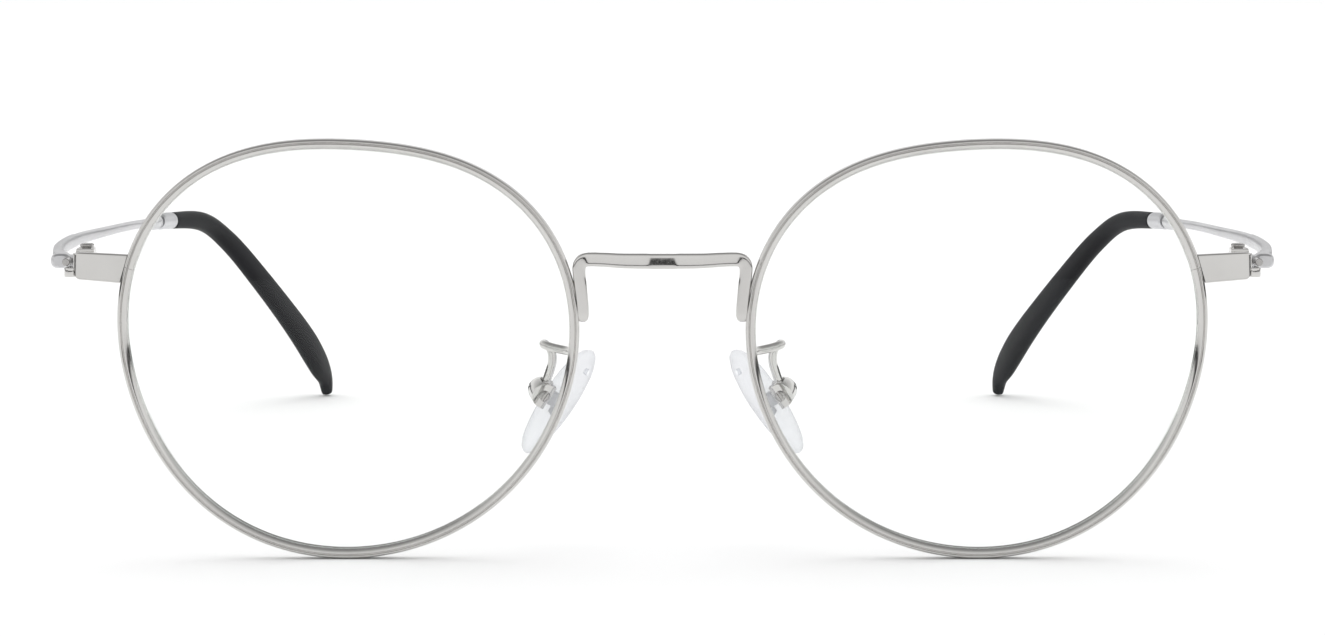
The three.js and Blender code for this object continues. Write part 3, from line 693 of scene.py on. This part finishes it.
def pin_shape():
    edge = 0.06
    pin = lathe([(0, 0), (PIN_RADIUS - edge, 0), (PIN_RADIUS, edge), (PIN_RADIUS, PIN_LENGTH),
                 (0, PIN_LENGTH)], 32)
    return moved(pin, Matrix.Translation((PIN_X, PIN_Y, PIN_Z)) @ Matrix.Rotation(-math.pi / 2, 4, "X"))


def wire_shape():
    """The flat strip behind the bar, which turns round before the collar and runs on as the core."""
    start = BAR_END + 0.04
    round_from = COLLAR[0] - 2
    widths = [(start, 0.78), (start + 0.3, 0.85), (66, 0.95), (round_from, CORE_DIAMETER)]
    heights = [(start, 1.42), (start + 0.3, 1.5), (66, 1.15), (round_from, CORE_DIAMETER)]
    return temple_sweep([start, start + 0.08, *spaced(start + 0.3, CORE_END, 0.8)], 24,
                        lambda distance: (profile(widths, distance), profile(heights, distance)), 0.75)


def round_sweep(distances, diameters):
    """A round skin along the temple line."""
    return temple_sweep(distances, 32, lambda distance: (profile(diameters, distance),) * 2)


def collar_shape():
    """A rounded bead that narrows to the ferrule."""
    start, end = COLLAR
    return round_sweep(spaced(start, end, 0.1), [
        (start, 1.16), (start + 0.25, 1.55), (start + 0.9, 2.05), (start + 1.6, 2.15),
        (end - 0.35, 1.95), (end - 0.2, 1.7), (end, 1.62)])


def ferrule_shape():
    start, end = FERRULE
    distances = [start, start + 0.07, start + 0.2, *spaced(start + 0.5, end - 0.3, 0.5),
                 end - 0.15, end - 0.06, end]
    return round_sweep(distances, [(start, 1.9), (start + 0.2, 2.2), (end - 0.15, 2.24), (end, 2.1)])


def tip_shape():
    """Round at the ferrule, a flat paddle behind the ear, with a blunt turned-down end."""
    end = temple.length
    end_radius = 0.7
    widths = [(TIP_START, 2.2), (end - 30, 2.3), (end - 8, 2.7), (end - 2.5, 2.2),
              (end - end_radius, 1.75), (end, 1.4)]
    heights = [(TIP_START, 2.2), (TIP_START + 12, 2.7), (end - 34, 3.6), (end - 20, 4.3), (end - 7, 5.6),
               (end - 4, 4.9), (end - 1.5, 3), (end, 1.9)]

    def size(distance):
        reach = min(3, max(0, distance - TIP_START), max(0, (end - distance) * 0.8))
        from_round = 1 - min(1, (end - distance) / end_radius)
        rounding = min(1, math.sqrt(max(0, 1 - from_round ** 2)) + 0.25)
        mouth = min(1, 0.92 + 0.4 * (distance - TIP_START))
        share = rounding * mouth
        return softened(widths, distance, reach) * share, softened(heights, distance, reach) * share

    distances = [*spaced(TIP_START, TIP_START + 0.2, 0.05), *spaced(TIP_START + 0.6, end - 2, 0.7),
                 *spaced(end - 1.8, end - end_radius, 0.2), *spaced(end - 0.65, end, 0.05)]
    return temple_sweep(distances, 40, size, 0.92)


pair("temple_hinge", temple_hinge_shape(), SATIN, "{}_temple")
pair("temple_pin", pin_shape(), STEEL, "{}_temple")
pair("temple_wire", wire_shape(), SATIN, "{}_temple")
pair("temple_collar", collar_shape(), SATIN, "{}_temple")
pair("temple_ferrule", ferrule_shape(), FROSTED, "{}_temple")
pair("temple_tip", tip_shape(), CHARCOAL, "{}_temple")


# ---- nose pads -----------------------------------------------------------------------------

pad_up = PAD_UP.normalized()
pad_back = Vector((math.sin(PAD_TURN), math.cos(PAD_TURN), 0))
pad_back = (pad_back - pad_up * pad_back.dot(pad_up)).normalized()
pad_out = pad_up.cross(pad_back)
pad_frame = Matrix.Translation(PAD_CENTRE - pad_out * PAD_OFFSET) @ Matrix(
    (pad_up, pad_back, pad_out)).transposed().to_4x4()


def pad_shape():
    """A soft oval pad: a flat back, full edges and a domed face to the nose, with an eye and a slit."""
    # (height in thicknesses, size) from the back to the face.
    levels = [(-0.5, 0.5), (-0.5, 0.64), (-0.46, 0.78), (-0.38, 0.88), (-0.25, 0.955), (-0.1, 0.99),
              (0.05, 1), (0.18, 0.97), (0.3, 0.89), (0.39, 0.77), (0.45, 0.6), (0.485, 0.4), (0.5, 0.2)]
    rings = []
    for level, scale in levels:
        ring = []
        for i in range(96):
            a = 2 * math.pi * i / 96
            width = PAD_WIDTH / 2 * (1 + 0.1 * math.cos(a))
            ring.append((math.cos(a) * PAD_LENGTH / 2 * scale, math.sin(a) * width * scale,
                         PAD_OFFSET + level * PAD_THICKNESS))
        rings.append(ring)
    eye = lathe([(0, 0), (EYE_MARK_RADIUS, 0), (EYE_MARK_RADIUS, MARK_HEIGHT), (0, MARK_HEIGHT)], 24)
    slit = box(*((-size / 2, size / 2) for size in SLIT_MARK_SIZE), (0, MARK_HEIGHT))
    pad = loft(rings)
    for mark, x in ((eye, EYE_MARK_X), (slit, SLIT_MARK_X)):
        pad = combined(pad, moved(mark, Matrix.Translation((x, 0, MARK_FLOOR))), "DIFFERENCE")
    return pad


def stem_shape():
    """A tab that fills the pad box's slot, on a plate moulded into the pad."""
    half = PAD_SLOT / 2 - 0.1
    base = PAD_OFFSET - 0.2, PAD_OFFSET + 0.25
    turns = spaced(0.2, math.pi - 0.2, 0.25)
    outline = [(-STEM_HALF, PAD_OFFSET + 0.2), (-STEM_HALF, 0)]
    outline += [(-STEM_HALF * math.cos(a), -STEM_HALF * math.sin(a)) for a in turns]
    outline += [(STEM_HALF, 0), (STEM_HALF, PAD_OFFSET + 0.2)]
    tab = rounded(loft([[(x, y, z) for x, z in outline] for y in (-half, half)]), 0.06, 2)
    plate = rounded(box(*((-size, size) for size in STEM_PLATE), base), 0.1, 2)
    return combined(tab, plate, "UNION")


def pad_box_shape():
    """Rounded at the back, open to the pad, with a slot for the stem."""
    turns = spaced(0.12, math.pi - 0.12, 0.14)
    outline = [(BOX_HALF, BOX_LIP), (BOX_HALF, 0)]
    outline += [(BOX_HALF * math.cos(a), -BOX_HALF * math.sin(a)) for a in turns]
    outline += [(-BOX_HALF, 0), (-BOX_HALF, BOX_LIP)]
    shell = loft([[(x, y, z) for x, z in outline] for y in (-BOX_WIDTH / 2, BOX_WIDTH / 2)])
    slot = box((-3, 3), (-PAD_SLOT / 2, PAD_SLOT / 2), (-0.86, 3))
    return rounded(combined(shell, slot, "DIFFERENCE"), 0.09, 2, 40)


def pad_arm_shape():
    """A round wire from the back of the rim, through a bend, to the top of the pad box."""
    route = Route([*PAD_ARM_LINE, pad_frame @ Vector((BOX_HALF + 0.04, 0, -0.4))])
    rings = []
    side = Vector((0, 0, 1))
    for distance in spaced(0, route.length, 0.15):
        centre, along = route.at(distance)
        side = (side - along * side.dot(along)).normalized()
        rings.append(oval(centre, side, side.cross(along), PAD_ARM_DIAMETER, PAD_ARM_DIAMETER, 20))
    return loft(rings)


pair("pad_arm", pad_arm_shape(), POLISHED)
pair("pad_box", moved(pad_box_shape(), pad_frame), POLISHED)
pad_screw_end = pad_frame @ Matrix.Translation((0, BOX_WIDTH / 2 + 0.15, 0))
pair("pad_screw", moved(screw_shape(0.4, BOX_WIDTH + 0.19, 0.62, 0.3),
                        pad_screw_end @ Matrix.Rotation(math.pi / 2, 4, "X")), STEEL)
pair("pad_stem", moved(stem_shape(), pad_frame), SATIN, "{}_nose_pad")
pair("nose_pad", moved(pad_shape(), pad_frame), SILICONE, "{}_nose_pad", 60)


# ---- studio --------------------------------------------------------------------------------

FLOOR_HALF = 6  # metres
# Millimetres of the drawing, and the angle below level in degrees.
CAMERA_POINT, CAMERA_PITCH = (0, -400, 73.4), 6.64
CAMERA_LENS, CAMERA_SENSOR = 99.06, 36
STUDIO_STRENGTH = 0.95
# (height on a unit sphere, brightness) of the surroundings that the metal reflects.
STUDIO_BANDS = [(0, 0.06), (0.06, 0.08), (0.095, 1), (0.3, 1.1), (0.42, 0.85), (0.62, 0.7), (0.85, 0.35)]


def floor():
    mesh = bpy.data.meshes.new("floor")
    corners = [(x * FLOOR_HALF, y * FLOOR_HALF, 0) for x, y in ((-1, -1), (1, -1), (1, 1), (-1, 1))]
    mesh.from_pydata(corners, [], [(0, 1, 2, 3)])
    made = bpy.data.objects.new("floor", mesh)
    bpy.context.scene.collection.objects.link(made)
    material, _, shader, _ = node_material("white_floor")
    shader.inputs["Base Color"].default_value = (0.8, 0.8, 0.8, 1)
    shader.inputs["Roughness"].default_value = 0.7
    shader.inputs["Specular IOR Level"].default_value = 0.2
    mesh.materials.append(material)


def area_light(name, position, size, power):
    """A soft light that shines straight down. It isn't seen in the metal, which reflects the world."""
    light = bpy.data.lights.new(name, "AREA")
    light.shape = "RECTANGLE"
    light.size, light.size_y = size
    light.energy = power
    made = bpy.data.objects.new(name, light)
    made.location = position
    made.visible_glossy = False
    bpy.context.scene.collection.objects.link(made)


def world():
    """A studio in soft bands: dark at the horizon, a bright wall, and a ceiling that darkens upwards.

    The bands are for reflections and light. The background itself is white.
    """
    scene_world = bpy.data.worlds.new("studio")
    bpy.context.scene.world = scene_world
    scene_world.use_nodes = True
    tree = scene_world.node_tree
    studio = tree.nodes["Background"]
    direction = tree.nodes.new("ShaderNodeTexCoord")
    split = tree.nodes.new("ShaderNodeSeparateXYZ")
    ramp = tree.nodes.new("ShaderNodeValToRGB")
    while len(ramp.color_ramp.elements) < len(STUDIO_BANDS):
        ramp.color_ramp.elements.new(0.5)
    for element, (height, grey) in zip(ramp.color_ramp.elements, STUDIO_BANDS):
        element.position = height
        element.color = (grey, grey, grey, 1)
    tree.links.new(direction.outputs["Generated"], split.inputs["Vector"])
    tree.links.new(split.outputs["Z"], ramp.inputs["Fac"])
    tree.links.new(ramp.outputs["Color"], studio.inputs["Color"])
    studio.inputs["Strength"].default_value = STUDIO_STRENGTH
    white = tree.nodes.new("ShaderNodeBackground")
    white.inputs["Color"].default_value = (1, 1, 1, 1)
    path = tree.nodes.new("ShaderNodeLightPath")
    mix = tree.nodes.new("ShaderNodeMixShader")
    tree.links.new(path.outputs["Is Camera Ray"], mix.inputs["Fac"])
    tree.links.new(studio.outputs["Background"], mix.inputs[1])
    tree.links.new(white.outputs["Background"], mix.inputs[2])
    tree.links.new(mix.outputs["Shader"], tree.nodes["World Output"].inputs["Surface"])


def camera():
    """0.4 m in front of the rims and a little above them, looking slightly down."""
    lens = bpy.data.cameras.new("camera")
    lens.sensor_width = CAMERA_SENSOR
    lens.lens = CAMERA_LENS
    lens.clip_start = 0.01
    made = bpy.data.objects.new("camera", lens)
    made.location = place(CAMERA_POINT)
    made.rotation_euler = (math.radians(90 - CAMERA_PITCH), 0, 0)
    bpy.context.scene.collection.objects.link(made)
    bpy.context.scene.camera = made


floor()
world()
area_light("overhead", (0, 0.1, 0.6), (0.5, 0.4), 0.62)
area_light("backdrop", (0, 1.1, 1.4), (4, 3.6), 53)
camera()
bpy.context.scene.view_settings.view_transform = "Standard"
